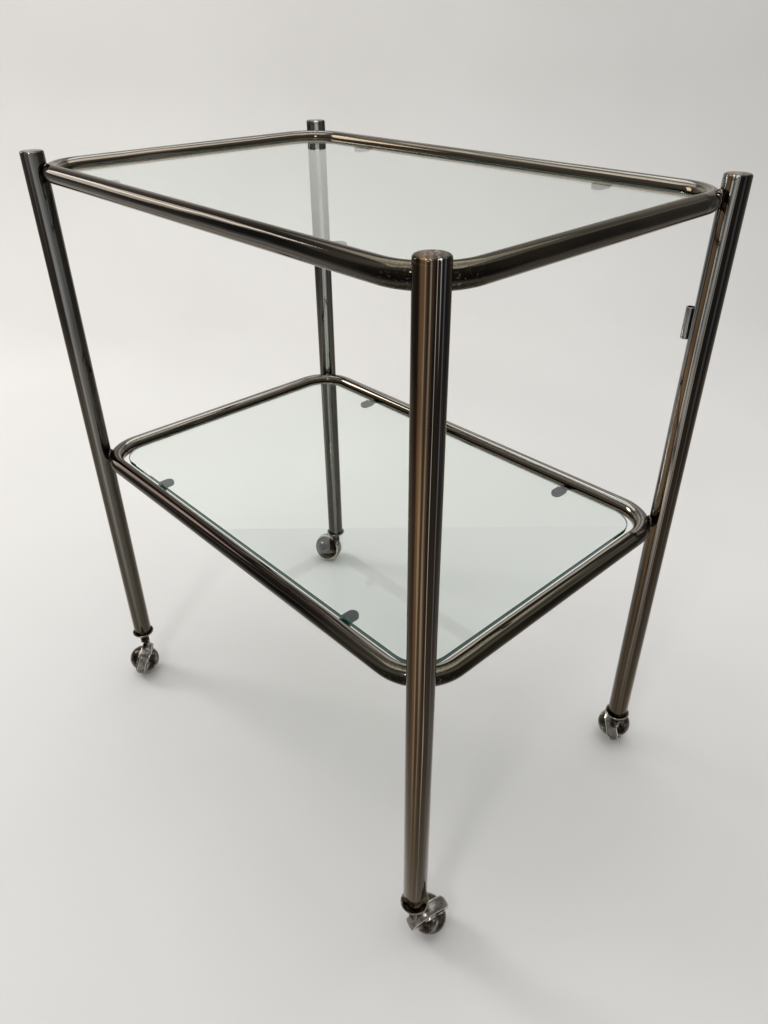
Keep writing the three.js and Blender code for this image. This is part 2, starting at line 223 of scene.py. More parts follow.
def ring_painted_reflections():
    """Old chrome on the rings, with painted reflections: painted highlight and shade bands by the
    angle in degrees from the top of the tube.

    The two back sides, the long front side and the short right side each have their own
    bands outward of the top. They follow each other along the ring.
    """
    f = Finish("chrome_ring")
    offset = (2.1, 6.2, 5.4)
    angle = f.math("ARCTAN2", f.dot((1, 0, 0)), f.dot((0, 1, 0)))
    sway = f.noise((3, 3, 5), 3, 0.55, offset)
    streaks = f.noise((260, 260, 1.4), 3, 0.6, offset)
    angle = f.math("ADD", angle, f.span(sway, -0.16, 0.16, 0.3, 0.7))
    angle = f.math("ADD", angle, f.span(streaks, -0.12, 0.12, 0.3, 0.7))
    # painted reflection bands: (degrees from the top, colour); light stops are painted highlights,
    # dark stops painted shade
    inside = [
        (-180, (0.020, 0.016, 0.012)), (-104, (0.026, 0.021, 0.016)),
        (-98, (0.15, 0.12, 0.088)), (-84, (0.19, 0.155, 0.115)), (-78, (0.018, 0.014, 0.010)),
        (-72, (0.075, 0.058, 0.040)), (-58, (0.11, 0.088, 0.062)), (-53, (0.30, 0.27, 0.225)),
        (-44, (0.20, 0.17, 0.13)), (-38, (0.025, 0.020, 0.015)),
    ]
    back = inside + [
        (-31, (0.30, 0.285, 0.255)), (-15, (0.42, 0.40, 0.365)), (-11, (0.030, 0.025, 0.020)),
        (-6, (0.40, 0.385, 0.355)), (7, (0.46, 0.44, 0.41)), (11, (0.035, 0.030, 0.024)),
        (15, (0.30, 0.285, 0.255)), (30, (0.20, 0.18, 0.155)), (36, (0.020, 0.016, 0.013)),
        (62, (0.012, 0.010, 0.009)), (72, (0.060, 0.046, 0.032)), (82, (0.014, 0.011, 0.009)),
        (104, (0.011, 0.009, 0.008)), (110, (0.16, 0.145, 0.12)), (180, (0.018, 0.014, 0.011)),
    ]
    left = inside + [
        (-34, (0.50, 0.48, 0.44)), (-20, (0.42, 0.40, 0.36)), (-16, (0.010, 0.009, 0.007)),
        (-4, (0.012, 0.010, 0.008)), (0, (0.16, 0.15, 0.135)), (5, (0.018, 0.013, 0.010)),
        (30, (0.030, 0.020, 0.016)), (45, (0.014, 0.011, 0.010)), (52, (0.09, 0.08, 0.068)),
        (58, (0.006, 0.005, 0.005)), (84, (0.005, 0.005, 0.005)), (98, (0.11, 0.105, 0.098)),
        (106, (0.04, 0.036, 0.03)), (112, (0.12, 0.11, 0.1)), (180, (0.018, 0.014, 0.011)),
    ]
    right = inside + [
        (-30, (0.05, 0.042, 0.028)), (-24, (0.55, 0.52, 0.46)), (-12, (0.48, 0.45, 0.40)),
        (-7, (0.014, 0.011, 0.006)), (8, (0.040, 0.034, 0.022)), (20, (0.15, 0.135, 0.10)),
        (32, (0.06, 0.050, 0.034)), (45, (0.13, 0.115, 0.085)), (54, (0.020, 0.016, 0.010)),
        (78, (0.008, 0.007, 0.006)), (94, (0.004, 0.003, 0.002)), (106, (0.055, 0.048, 0.040)),
        (114, (0.016, 0.013, 0.009)), (130, (0.020, 0.016, 0.012)), (180, (0.018, 0.014, 0.011)),
    ]
    place = f.span(angle, 0.0, 1.0, -math.pi, math.pi)
    back, left, right = (
        f.ramp(place, [(0.5 + degrees / 360, shade) for degrees, shade in part])
        for part in (back, left, right)
    )
    along = f.dot((0, 0, 1))
    left_bend = (0.93, 1.01)
    front_bend = (1.42, 1.52)
    color = f.mix(f.span(along, 0.0, 1.0, *left_bend), back, left)
    color = f.mix(f.span(along, 0.0, 1.0, *front_bend), color, right)
    cloud = f.noise((30, 30, 7), 3, 0.6, offset)
    color = f.mix(f.span(cloud, 0.0, 0.4, 0.52, 0.75), color, (0.06, 0.048, 0.032))
    color, rough, pits = aged(f, color, offset)
    near = f.math("MULTIPLY", f.attribute("near_weld"), 0.6)
    grain = f.noise((520, 520, 520), 3, 0.6, (3, 1, 4))
    color = f.mix(f.math("MULTIPLY", near, f.span(grain, 0.0, 1.0, 0.54, 0.64)), color,
                  (0.03, 0.024, 0.018))
    color = f.mix(f.math("MULTIPLY", near, f.span(grain, 1.0, 0.0, 0.34, 0.41)), color,
                  (0.22, 0.195, 0.16))
    pits = f.math("ADD", pits, f.math("MULTIPLY", near, f.math("MULTIPLY", grain, 0.35)))
    f.bump(pits, 0.35, 0.0004)
    f.set(Metallic=1.0, Base_Color=color, Specular_Tint=GRAZING_TINT,
          Roughness=f.math("ADD", rough, f.math("MULTIPLY", near, 0.08)))
    return f.material


# per post: side direction, stops of painted reflection bands and highlights, foot colour, noise
# offset
POST_PAINTED_REFLECTIONS = {
    "front": post_chrome_painted_reflections("chrome_front", (0.73, 0.69), [
        (0.00, (0.010, 0.008, 0.006)), (0.06, (0.020, 0.012, 0.008)),
        (0.12, (0.16, 0.085, 0.042)), (0.20, (0.22, 0.125, 0.065)),
        (0.24, (0.48, 0.34, 0.20)), (0.27, (0.13, 0.07, 0.04)),
        (0.32, (0.030, 0.020, 0.014)), (0.36, (0.42, 0.33, 0.23)),
        (0.39, (0.15, 0.09, 0.05)), (0.45, (0.015, 0.010, 0.008)),
        (0.52, (0.020, 0.015, 0.012)), (0.545, (0.85, 0.82, 0.76)),
        (0.57, (0.030, 0.022, 0.016)), (0.68, (0.008, 0.007, 0.007)),
        (0.74, (0.14, 0.15, 0.17)), (0.78, (0.010, 0.010, 0.010)),
        (0.90, (0.012, 0.010, 0.010)), (0.96, (0.07, 0.055, 0.04)), (1.00, (0.010, 0.010, 0.010)),
    ], (0.064, 0.042, 0.022), (1.3, 0.2, 0.4)),
    "right": post_chrome_painted_reflections("chrome_right", (0.91, 0.40), [
        (0.00, (0.020, 0.018, 0.016)), (0.05, (0.30, 0.32, 0.34)), (0.09, (0.020, 0.018, 0.016)),
        (0.14, (0.24, 0.25, 0.26)), (0.18, (0.015, 0.013, 0.011)), (0.25, (0.26, 0.155, 0.08)),
        (0.33, (0.14, 0.085, 0.05)), (0.38, (0.020, 0.015, 0.011)), (0.42, (0.85, 0.80, 0.70)),
        (0.45, (0.020, 0.016, 0.013)), (0.50, (0.62, 0.58, 0.52)), (0.53, (0.020, 0.017, 0.014)),
        (0.58, (0.45, 0.43, 0.40)), (0.62, (0.015, 0.013, 0.011)), (0.75, (0.008, 0.008, 0.008)),
        (0.80, (0.08, 0.085, 0.09)), (0.84, (0.010, 0.010, 0.010)), (0.94, (0.012, 0.010, 0.010)),
        (0.98, (0.10, 0.085, 0.07)), (1.00, (0.020, 0.018, 0.016)),
    ], (0.072, 0.050, 0.030), (4.1, 2.2, 1.4)),
    "left": post_chrome_painted_reflections("chrome_left", (0.35, 0.94), [
        (0.00, (0.015, 0.012, 0.010)), (0.08, (0.055, 0.038, 0.030)),
        (0.16, (0.030, 0.026, 0.022)), (0.25, (0.22, 0.215, 0.20)), (0.34, (0.46, 0.455, 0.43)),
        (0.44, (0.22, 0.215, 0.20)), (0.58, (0.12, 0.115, 0.105)), (0.66, (0.030, 0.028, 0.025)),
        (0.86, (0.018, 0.016, 0.014)), (0.94, (0.14, 0.13, 0.115)), (1.00, (0.020, 0.018, 0.016)),
    ], (0.082, 0.070, 0.052), (7.3, 5.2, 2.4)),
    "back": post_chrome_painted_reflections("chrome_back", (0.62, 0.78), [
        (0.00, (0.020, 0.018, 0.016)), (0.10, (0.040, 0.036, 0.030)),
        (0.20, (0.13, 0.125, 0.11)), (0.30, (0.030, 0.027, 0.023)),
        (0.42, (0.50, 0.49, 0.46)), (0.50, (0.80, 0.78, 0.74)), (0.56, (0.26, 0.25, 0.23)),
        (0.62, (0.040, 0.036, 0.032)), (0.75, (0.10, 0.095, 0.088)),
        (0.88, (0.030, 0.027, 0.024)), (1.00, (0.020, 0.018, 0.016)),
    ], (0.085, 0.080, 0.066), (9.7, 8.2, 3.4)),
}
ring_chrome_painted_light = ring_painted_reflections()


def shell_painted_reflections():
    """Polished casting: dark, with painted reflections as clear light patches and a painted highlight
    line near each rim.
    """
    f = Finish("caster_shell")
    # painted reflections: the light stops of this ramp stand for reflected light on the polished
    # shell
    patches = f.noise((60, 60, 60), 3, 0.55, (5, 2, 1), 1.4)
    color = f.ramp(patches, [
        (0.36, (0.006, 0.005, 0.004)), (0.45, (0.028, 0.019, 0.013)),
        (0.48, (0.12, 0.085, 0.058)), (0.51, (0.012, 0.009, 0.007)),
        (0.55, (0.05, 0.038, 0.028)), (0.58, (0.26, 0.235, 0.20)), (0.61, (0.03, 0.024, 0.019)),
        (0.64, (0.14, 0.12, 0.10)), (0.69, (0.70, 0.68, 0.63)),
    ])
    rings = f.noise((50, 50, 420), 3, 0.6)
    color = f.mix(f.span(rings, 0.0, 0.2, 0.52, 0.72), color, (0.22, 0.2, 0.17))
    # painted highlight: a bright line round each rim
    rim_highlight_place = 8.6 * MM
    rim = f.math("ABSOLUTE", f.dot((0, 0, 1)), 0)
    rim = f.math("ABSOLUTE", f.math("SUBTRACT", rim, rim_highlight_place), 0)
    wavy = f.noise((90, 90, 90), 2, 0.5, (1, 7, 3))
    rim = f.math("MULTIPLY", f.span(rim, 0.9, 0.0, 0.3 * MM, 0.9 * MM),
                 f.span(wavy, 0.0, 1.0, 0.45, 0.6))
    color = f.mix(rim, color, (0.62, 0.60, 0.56))
    specks = f.noise((800, 800, 800), 2, 0.5)
    mask = f.span(specks, 0.0, 0.8, 0.66, 0.74)
    color = f.mix(mask, color, (0.02, 0.016, 0.012))
    f.bump(f.math("ADD", f.math("MULTIPLY", rings, 0.4), f.math("MULTIPLY", specks, 0.2)),
           0.15, 0.0002)
    f.set(
        Metallic=1.0,
        Base_Color=color,
        Roughness=f.math("ADD", f.span(patches, 0.13, 0.06, 0.35, 0.7),
                         f.math("MULTIPLY", mask, 0.25)),
    )
    return f.material


def cup_painted_highlights():
    """The cup under each post, in bands by height: dark, with painted highlights along both of its
    edges and painted shade under the flare.
    """
    f = Finish("post_cup")
    cup_foot, cup_top = 61 * MM, 65.8 * MM
    height = f.span(f.dot((0, 0, 1)), 0.0, 1.0, cup_foot, cup_top)
    wavy = f.noise((90, 90, 60), 3, 0.6, (2, 1, 6))
    height = f.math("ADD", height, f.span(wavy, -0.08, 0.08, 0.3, 0.7))
    # painted light by height: bright painted highlights near both edges, painted shade between them
    color = f.ramp(height, [
        (0.00, (0.03, 0.025, 0.02)), (0.12, (0.34, 0.31, 0.27)), (0.26, (0.22, 0.20, 0.17)),
        (0.32, (0.015, 0.012, 0.010)), (0.62, (0.012, 0.010, 0.008)), (0.70, (0.10, 0.085, 0.065)),
        (0.80, (0.42, 0.39, 0.34)), (0.95, (0.16, 0.135, 0.105)), (1.00, (0.03, 0.024, 0.018)),
    ])
    cloud = f.noise((60, 60, 60), 3, 0.6, (4, 4, 1))
    color = f.mix(f.span(cloud, 0.0, 0.5, 0.5, 0.7), color, (0.05, 0.042, 0.033))
    specks = f.noise((900, 900, 900), 2, 0.5)
    f.bump(specks, 0.15, 0.0002)
    f.set(Metallic=1.0, Base_Color=color, Roughness=f.span(cloud, 0.1, 0.25))
    return f.material


def brushed_band_painted_edges(name, half, dark, light):
    """Brushed band that rolls or guards the wheel, with a painted highlight along both rounded edges.
    """
    f = Finish(name)
    brushed = f.noise((60, 60, 2400), 4, 0.65)
    cloud = f.noise((75, 75, 75), 3, 0.55, (5, 2, 1), 0.8)
    color = f.mix(f.span(brushed, 0.0, 1.0, 0.34, 0.66), dark, light)
    color = f.mix(f.span(cloud, 0.0, 0.8, 0.48, 0.62), color, dark)
    # painted highlight: bright lines along both edges of the band
    sideways = f.math("ABSOLUTE", f.dot((0, 0, 1)), 0)
    edge = f.span(sideways, 0.0, 0.9, half - 1.3 * MM, half - 0.5 * MM)
    color = f.mix(edge, color, (0.68, 0.66, 0.61))
    f.bump(brushed, 0.25, 0.0002)
    f.set(Metallic=1.0, Base_Color=color, Roughness=f.span(brushed, 0.15, 0.3))
    return f.material


def turned_metal(name, dark, light, fine, rough, own=True):
    """Brushed metal with marks that run round the piece's own axis."""
    f = Finish(name, own)
    rings = f.noise((60, 60, fine), 4, 0.65)
    cloud = f.noise((70, 70, 70), 3, 0.55, (5, 2, 1), 0.8)
    color = f.mix(f.span(rings, 0.0, 1.0, 0.34, 0.66), dark, light)
    color = f.mix(f.span(cloud, 0.0, 0.85, 0.46, 0.64), color, dark)
    f.bump(f.math("ADD", rings, f.math("MULTIPLY", cloud, 0.3)), 0.25, 0.0002)
    f.set(
        Metallic=1.0,
        Base_Color=color,
        Roughness=f.span(rings, rough * 0.7, rough * 1.4),
    )
    return f.material


shell_painted_light = shell_painted_reflections()
cup_painted_light = cup_painted_highlights()
strap_painted_light = brushed_band_painted_edges("caster_strap", 7.2 * MM, (0.07, 0.06, 0.048), (0.36, 0.335, 0.295))
tread_painted_light = brushed_band_painted_edges("caster_tread", 5.9 * MM, (0.08, 0.068, 0.055), (0.42, 0.39, 0.345))
steel_finish = turned_metal(
    "turned_steel", (0.035, 0.03, 0.026), (0.16, 0.145, 0.125), 1500, 0.3)
hidden_steel = turned_metal(
    "plain_steel", (0.05, 0.045, 0.04), (0.2, 0.185, 0.165), 900, 0.35, False)


def rubber_finish():
    """Matt black rubber with a little dust."""
    f = Finish("rubber", False)
    grain = f.noise((1500, 1500, 1500), 4, 0.6)
    dust = f.noise((160, 160, 160), 3, 0.5)
    color = f.mix(f.span(dust, 0.0, 0.5, 0.45, 0.75), (0.004, 0.004, 0.004), (0.02, 0.019, 0.018))
    f.bump(grain, 0.25, 0.0003)
    f.set(Base_Color=color, Roughness=f.span(dust, 0.42, 0.62))
    return f.material


def glass_finish(name, color, smudge, clear=1.0):
    """Glass with faint smudges, which only change its roughness."""
    f = Finish(name, False)
    prints = f.noise((9, 9, 9), 5, 0.6)
    f.set(
        Base_Color=color,
        Roughness=f.span(prints, 0.0, smudge, 0.5, 0.8),
        Transmission_Weight=clear,
        IOR=1.62,
    )
    return f.material


def weld_finish():
    """Coarse bright grain over dark metal."""
    f = Finish("weld", False)
    grain = f.noise((700, 700, 700), 4, 0.65)
    color = f.ramp(grain, [
        (0.35, (0.03, 0.024, 0.018)), (0.55, (0.15, 0.13, 0.11)), (0.7, (0.5, 0.47, 0.42)),
    ])
    f.bump(grain, 0.5, 0.0006)
    f.set(Metallic=1.0, Base_Color=color, Roughness=f.span(grain, 0.12, 0.4))
    return f.material


rubber = rubber_finish()
pane_finish = glass_finish("glass_face", (0.93, 0.98, 0.955), 0.03)
edge_finish = glass_finish("glass_edge", (0.012, 0.15, 0.095), 0.15, 0.3)
weld = weld_finish()

# ---- Mesh helpers ----


def piece(name, bm, finishes, body, nodes=(), sharp=38):
    """Turns a bmesh into an object that rides on a body and stands for CAD nodes."""
    bmesh.ops.remove_doubles(bm, verts=bm.verts, dist=1e-7)
    bmesh.ops.recalc_face_normals(bm, faces=bm.faces)
    mesh = bpy.data.meshes.new(name)
    bm.to_mesh(mesh)
    bm.free()
    for polygon in mesh.polygons:
        polygon.use_smooth = True
    mesh.set_sharp_from_angle(angle=math.radians(sharp))
    for finish in finishes:
        mesh.materials.append(finish)
    obj = bpy.data.objects.new(name, mesh)
    bpy.context.scene.collection.objects.link(obj)
    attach(obj, body)
    if nodes:
        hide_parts(*nodes)
    return obj


def soften(corners, steps=4, loop=False):
    """Rounds a profile: each corner is (radius, height) or (radius, height, fillet)."""
    result = []
    count = len(corners)
    for i, corner in enumerate(corners):
        point = Vector(corner[:2])
        fillet = corner[2] if len(corner) > 2 else 0
        if not fillet or (not loop and i in (0, count - 1)):
            result.append(point)
            continue
        before = (Vector(corners[i - 1][:2]) - point)
        after = (Vector(corners[(i + 1) % count][:2]) - point)
        half = before.angle(after) / 2
        reach = min(fillet / math.tan(half), before.length * 0.49, after.length * 0.49)
        radius = reach * math.tan(half)
        start = point + before.normalized() * reach
        end = point + after.normalized() * reach
        centre = point + (before.normalized() + after.normalized()).normalized() * (
            radius / math.sin(half)
        )
        a, b = start - centre, end - centre
        turn = a.angle_signed(b)
        for k in range(steps + 1):
            result.append(centre + Matrix.Rotation(-turn * k / steps, 2) @ a)
    return [(p.x, p.y) for p in result]


def arc(radius, start, end, steps, centre=0.0):
    """Profile points on a sphere centred on the axis, from one height to another."""
    low, high = math.asin((start - centre) / radius), math.asin((end - centre) / radius)
    angles = [low + (high - low) * i / steps for i in range(steps + 1)]
    return [(radius * math.cos(t), centre + radius * math.sin(t)) for t in angles]


def basis(origin, side, axis):
    """A matrix whose Z is the axis and whose X is the side direction."""
    z = Vector(axis).normalized()
    x = (Vector(side) - z * z.dot(Vector(side))).normalized()
    y = z.cross(x)
    matrix = Matrix((x, y, z)).transposed().to_4x4()
    matrix.translation = origin
    return matrix


def revolve(profile, matrix, sides=64, loop=False, start=0.0, sweep=None):
    """A profile of (radius, height) turned about the matrix's Z. Its own coordinates are kept."""
    bm = bmesh.new()
    own = bm.verts.layers.float_vector.new("own")
    whole = sweep is None
    turns = sides if whole else sides + 1
    columns = []
    for k in range(turns):
        angle = start + (2 * math.pi if whole else sweep) * k / sides
        column = []
        for i, (radius, height) in enumerate(profile):
            if radius < 1e-7 and k:
                column.append(columns[0][i])
                continue
            local = Vector((radius * math.cos(angle), radius * math.sin(angle), height))
            vert = bm.verts.new(matrix @ local)
            vert[own] = local
            column.append(vert)
        columns.append(column)
    rows = len(profile) if loop else len(profile) - 1
    for k in range(sides):
        left, right = columns[k], columns[(k + 1) % turns]
        for i in range(rows):
            j = (i + 1) % len(profile)
            corners = []
            for vert in (left[i], right[i], right[j], left[j]):
                if vert not in corners:
                    corners.append(vert)
            if len(corners) > 2:
                bm.faces.new(corners)
    if not whole:
        bm.faces.new(columns[0])
        bm.faces.new(columns[-1])
    return bm


def upright(x, y):
    """A matrix for pieces turned about a vertical axis, with heights above the floor."""
    return basis(Vector((x, y, 0)), (1, 0, 0), (0, 0, 1))


def middle(node):
    low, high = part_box(node)
    return (low + high) / 2


# ---- Posts, caps and cups ----

POST_WALL = 1.5 * MM
EDGE = 0.06 * MM
CAP_FILLET = 2.6 * MM
STEM_HOLE = 4.3 * MM
SOCKET_RADIUS = 10.4 * MM
CUP_INSIDE = 13.1 * MM


def make_post(corner):
    """A tube, its rounded top and the cup round its foot."""
    low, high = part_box(f"post_{corner}")
    centre = middle(f"post_{corner}")
    radius = (high.y - low.y) / 2
    place = upright(centre.x, centre.y)
    # the post's chrome, with its painted reflections
    finish = POST_PAINTED_REFLECTIONS[corner]
    bore = radius - POST_WALL
    tube = soften([
        (bore, low.z, EDGE), (radius, low.z, EDGE), (radius, high.z, EDGE), (bore, high.z, EDGE),
    ], 2, True)
    piece(f"post_tube_{corner}", revolve(tube, place, 72, True), [finish], "frame",
          [f"post_{corner}"])

    cap_low, cap_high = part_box(f"post_cap_{corner}")
    plug = bore - 0.3 * MM
    seat = high.z + 0.04 * MM
    cap = soften([
        (0, cap_low.z), (plug, cap_low.z, 0.6 * MM), (plug, seat), (radius, seat, EDGE),
        (radius, cap_high.z, CAP_FILLET), (0, cap_high.z),
    ], 7)
    piece(f"post_top_{corner}", revolve(cap, place, 72), [finish], "frame",
          [f"post_cap_{corner}"])

    cup_low, cup_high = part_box(f"ferrule_{corner}")
    rim = (cup_high.y - cup_low.y) / 2
    foot = cup_low.z
    ledge = low.z - 0.3 * MM
    cup = soften([
        (STEM_HOLE, foot, 0.3 * MM),
        (11.2 * MM, foot, 0.6 * MM),
        (12.3 * MM, foot + 1.1 * MM, 1 * MM),
        (rim - 0.3 * MM, foot + 2.7 * MM, 0.8 * MM),
        (rim, foot + 3.6 * MM, 0.5 * MM),
        (rim - 0.9 * MM, foot + 4.6 * MM, 0.6 * MM),
        (CUP_INSIDE, foot + 4.6 * MM, 0.2 * MM),
        (CUP_INSIDE, ledge),
        (SOCKET_RADIUS, ledge),
        (SOCKET_RADIUS, cup_high.z, 0.4 * MM),
        (STEM_HOLE, cup_high.z, 0.4 * MM),
    ], 4, True)
    piece(f"post_cup_{corner}", revolve(cup, place, 72, True), [cup_painted_light], "frame",
          [f"ferrule_{corner}"])


# ---- Casters ----

DOME_RADIUS = 18.92 * MM
DOME_CENTRE = 2.5 * MM
DOME_FACE = 8 * MM
HOOD_FACE = -6.2 * MM
FENDER_RADIUS = 25.2 * MM
FENDER_INSIDE = 24.8 * MM
TREAD_RADIUS = 24.3 * MM
TREAD_HALF = 5.9 * MM
NECK_CLEARANCE = 24.6 * MM
NECK_RADIUS = 6.35 * MM
NECK_TOP = 51 * MM
GROOVE_FLOOR = 16.4 * MM
AXLE_HOLE = 3.3 * MM
WHEEL_HOLE = 3.2 * MM


def make_caster(corner):
    """Stem, hood, strap and neck ride on the swivel; the tread and cover ride on the wheel."""
    swivel = Vector(joints[f"{corner}_swivel"]["pos_m"])
    centre = Vector(joints[f"{corner}_wheel_spin"]["pos_m"])
    outward = Vector(joints[f"{corner}_wheel_spin"]["axis"])
    up = Vector((0, 0, 1))
    up = (up - outward * outward.dot(up)).normalized()
    ball = basis(centre, up, outward)
    to_stem = Vector((swivel.x - centre.x, swivel.y - centre.y, 0))
    turn = 1 if to_stem.dot(ball.to_3x3() @ Vector((0, 1, 0))) > 0 else -1
    body = f"caster_{corner}"
    wheel_body = f"wheel_{corner}"

    stem_low, stem_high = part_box(f"caster_stem_{corner}")
    shank = 4 * MM
    collar = 6.4 * MM
    collar_low = 52.5 * MM
    collar_high = 60.7 * MM
    groove = stem_high.z - 6 * MM
    stem = soften([
        (0, stem_low.z), (shank, stem_low.z, 0.3 * MM),
        (shank, collar_low), (collar, collar_low, 0.7 * MM),
        (collar, collar_high, 0.5 * MM), (shank, collar_high),
        (shank, groove), (shank - 0.8 * MM, groove, 0.3 * MM),
        (shank - 0.8 * MM, groove + 2 * MM, 0.3 * MM), (shank, groove + 2 * MM),
        (shank, stem_high.z, 0.9 * MM), (0, stem_high.z),
    ], 4)
    piece(f"caster_pin_{corner}", revolve(stem, upright(swivel.x, swivel.y), 40),
          [steel_finish], body, [f"caster_stem_{corner}"])

    wall = HOOD_FACE - 1.2 * MM
    groove_edge = wall - 1.1 * MM
    dome = arc(DOME_RADIUS, -DOME_CENTRE - DOME_RADIUS, groove_edge - 0.5 * MM, 20, -DOME_CENTRE)
    edge_radius = dome[-1][0]
    dome += soften([
        dome.pop(), (edge_radius + 0.15 * MM, groove_edge, 0.35 * MM),
        (GROOVE_FLOOR, groove_edge), (GROOVE_FLOOR, wall), (21.7 * MM, wall, 0.2 * MM),
        (21.7 * MM, HOOD_FACE, 0.2 * MM), (AXLE_HOLE, HOOD_FACE), (AXLE_HOLE, -19.8 * MM),
        (0, -19.8 * MM),
    ], 4)
    piece(f"caster_hood_dome_{corner}", revolve(dome, ball, 72), [shell_painted_light], body,
          [f"caster_hood_{corner}"])

    strap = soften([
        (21.2 * MM, HOOD_FACE), (21.2 * MM, wall),
        (FENDER_RADIUS - 1.2 * MM, wall, 0.8 * MM),
        (FENDER_RADIUS - 0.3 * MM, -4.2 * MM, 4 * MM),
        (FENDER_RADIUS, 0, 8 * MM),
        (FENDER_RADIUS - 0.3 * MM, 4.2 * MM, 4 * MM),
        (FENDER_RADIUS - 1.0 * MM, 7 * MM, 0.4 * MM),
        (FENDER_INSIDE - 0.9 * MM, 7 * MM, 0.3 * MM),
        (FENDER_INSIDE - 0.1 * MM, 3.5 * MM),
        (FENDER_INSIDE - 0.1 * MM, -3.5 * MM),
        (FENDER_INSIDE - 0.6 * MM, HOOD_FACE),
    ], 4, True)
    front, back = math.radians(95), math.radians(-45)  # the strap's ends, about the axle
    start = back if turn > 0 else -front
    piece(f"caster_strap_{corner}",
          revolve(strap, ball, 48, True, start, front - back), [strap_painted_light], body)

    surface = centre.z + math.sqrt(FENDER_RADIUS ** 2 - to_stem.length ** 2)
    base = surface - 3.2 * MM
    neck = soften([
        (STEM_HOLE, base), (STEM_HOLE, NECK_TOP, 0.3 * MM),
        (NECK_RADIUS, NECK_TOP, 1.0 * MM), (NECK_RADIUS, base),
    ], 4, True)
    bm = revolve(neck, upright(swivel.x, swivel.y), 48, True)
    for vert in bm.verts:  # the neck's foot follows the wheel, clear of it
        away = (vert.co.xy - centre.xy).length
        if vert.co.z < surface and away < NECK_CLEARANCE:
            over_wheel = centre.z + math.sqrt(NECK_CLEARANCE ** 2 - away ** 2)
            vert.co.z = max(vert.co.z, over_wheel)
    piece(f"caster_neck_{corner}", bm, [shell_painted_light], body)

    rim_inside = 18.5 * MM
    web = 2.5 * MM
    hub = 7 * MM
    hub_end = 12 * MM
    edge_radius = math.sqrt(TREAD_RADIUS ** 2 - TREAD_HALF ** 2)
    wheel = soften([
        (WHEEL_HOLE, -TREAD_HALF), (hub, -TREAD_HALF, 0.3 * MM), (hub, -web, 1 * MM),
        (rim_inside, -web, 1 * MM), (rim_inside, -TREAD_HALF, 0.3 * MM),
        (edge_radius, -TREAD_HALF, 0.8 * MM), (TREAD_RADIUS - 0.16 * MM, -2.6 * MM, 6 * MM),
        (TREAD_RADIUS - 0.16 * MM, 2.6 * MM, 6 * MM), (edge_radius, TREAD_HALF, 0.8 * MM),
        (rim_inside, TREAD_HALF, 0.3 * MM), (rim_inside, web, 1 * MM), (hub, web, 1 * MM),
        (hub, hub_end, 0.3 * MM), (WHEEL_HOLE, hub_end),
    ], 4, True)
    piece(f"caster_tread_{corner}", revolve(wheel, ball, 96, True), [tread_painted_light], wheel_body,
          [f"caster_wheel_{corner}"])

    inner = arc(DOME_RADIUS - 2 * MM, 16.5 * MM, DOME_FACE + 0.3 * MM, 8, DOME_CENTRE)
    outer = arc(DOME_RADIUS, DOME_FACE + 0.6 * MM, DOME_CENTRE + DOME_RADIUS, 20, DOME_CENTRE)
    cover = [(0, 14.9 * MM), (7.3 * MM, 14.9 * MM), (7.3 * MM, DOME_FACE), (9.3 * MM, DOME_FACE)]
    cover += inner + soften([
        inner[-1], (inner[-1][0] + 0.2 * MM, DOME_FACE, 0.2 * MM),
        (outer[0][0] + 0.1 * MM, DOME_FACE, 0.35 * MM), outer[0],
    ], 4) + outer
    piece(f"caster_cover_{corner}", revolve(cover, ball, 72), [shell_painted_light], wheel_body,
          [f"caster_dome_{corner}"])
    frame["nodes"][f"caster_axle_{corner}"].data.materials.clear()
    frame["nodes"][f"caster_axle_{corner}"].data.materials.append(hidden_steel)


# ---- Rings, panes and tabs ----

RING_RADIUS = 9.5 * MM
RING_BEND = 46.4 * MM
GLASS_CORNER = 33 * MM


def ring_path(low, high, corner_steps):
    """Centreline points and directions of a ring, anticlockwise seen from above."""
    centre = (low + high) / 2
    half_x = (high.x - low.x) / 2 - RING_RADIUS - RING_BEND
    half_y = (high.y - low.y) / 2 - RING_RADIUS - RING_BEND
    path = []
    for sx, sy, start in ((1, 1, 0), (-1, 1, 90), (-1, -1, 180), (1, -1, 270)):
        for k in range(corner_steps + 1):
            angle = math.radians(start + 90 * k / corner_steps)
            out = Vector((math.cos(angle), math.sin(angle), 0))
            hub = Vector((centre.x + sx * half_x, centre.y + sy * half_y, centre.z))
            path.append((hub + out * RING_BEND, out))
    dense = []
    for i, (point, out) in enumerate(path):
        dense.append((point, out))
        after, next_out = path[(i + 1) % len(path)]
        gap = (after - point).length
        if gap > 0.05:
            cuts = int(gap / 0.012)
            dense += [(point.lerp(after, k / cuts), out.lerp(next_out, k / cuts).normalized())
                      for k in range(1, cuts)]
    return dense


